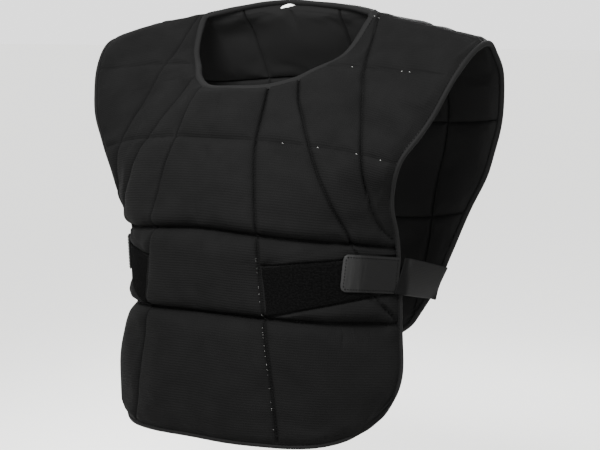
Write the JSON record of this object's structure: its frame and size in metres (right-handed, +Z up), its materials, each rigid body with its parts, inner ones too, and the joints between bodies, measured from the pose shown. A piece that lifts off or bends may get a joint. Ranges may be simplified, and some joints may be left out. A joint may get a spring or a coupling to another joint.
{
  "type": "padded goalkeeper vest",
  "caption": "Black quilted, padded sleeveless vest with wide shoulder caps, bound edges, a scooped neck and elastic side straps that fasten on the front.",
  "frame": {"origin": "in the middle of the neck opening, between the shoulder seams, where the shoulders carry the vest", "axes": "+X to the wearer's left, -Y out of the vest's front, +Z up"},
  "size_m": [0.4874, 0.2806, 0.4604],
  "materials": {
    "padded_mesh": "matt polyester mesh quilted over foam",
    "binding_tape": "matt folded woven tape",
    "loop_tape": "matt brushed loop pile",
    "hook_tape": "satin woven back of a hook tape",
    "elastic": "matt ribbed elastic webbing",
    "label": "plain white satin"
  },
  "bodies": {
    "root": {"front_panel": "padded_mesh", "back_panel": "padded_mesh", "neck_binding": "binding_tape", "edge_binding": "binding_tape", "loop_patch_left": "loop_tape", "loop_patch_right": "loop_tape", "hook_tab_left": "hook_tape", "hook_tab_right": "hook_tape", "strap_left": "elastic", "strap_right": "elastic", "neck_label": "label"}
  },
  "joints": []
}
